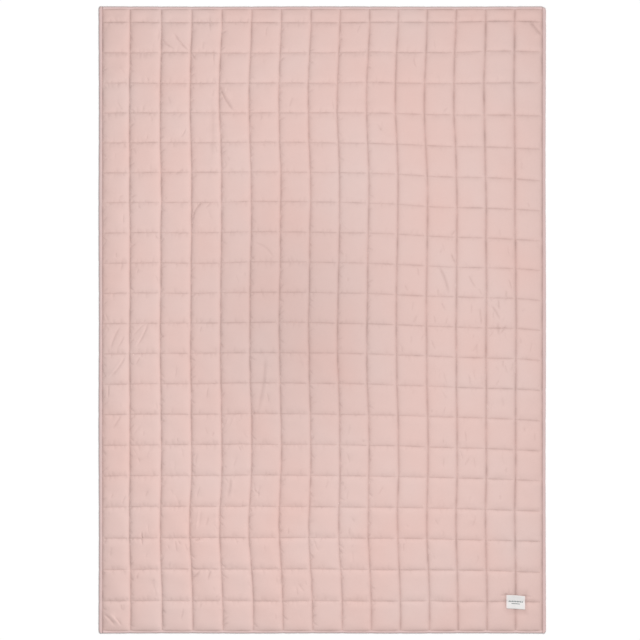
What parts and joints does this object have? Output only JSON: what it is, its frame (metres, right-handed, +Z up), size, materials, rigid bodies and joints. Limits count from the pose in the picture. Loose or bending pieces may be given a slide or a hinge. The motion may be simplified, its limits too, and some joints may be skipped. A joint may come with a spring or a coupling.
{
  "type": "quilted throw blanket",
  "caption": "Light square-quilted cotton throw laid out flat, with a folded binding strip on every edge and a small plain woven label near one corner.",
  "frame": {"origin": "middle of the blanket's outline, on the surface that it lies on", "axes": "+X across the width, +Y along the length towards the head end with the narrow row of squares, +Z up through the face with the label"},
  "size_m": [1.27, 1.78, 0.01],
  "materials": {
    "quilted_cotton": "soft washed plain-weave cotton, dusty pink, matt",
    "binding_cotton": "the same dusty pink cotton cut as a folded strip, matt",
    "woven_label": "smooth woven cream label tape, faint sheen"
  },
  "bodies": {
    "root": {"quilt_panel": "quilted_cotton", "binding_left": "binding_cotton", "binding_right": "binding_cotton", "binding_head": "binding_cotton", "binding_foot": "binding_cotton", "label": "woven_label"}
  },
  "joints": []
}
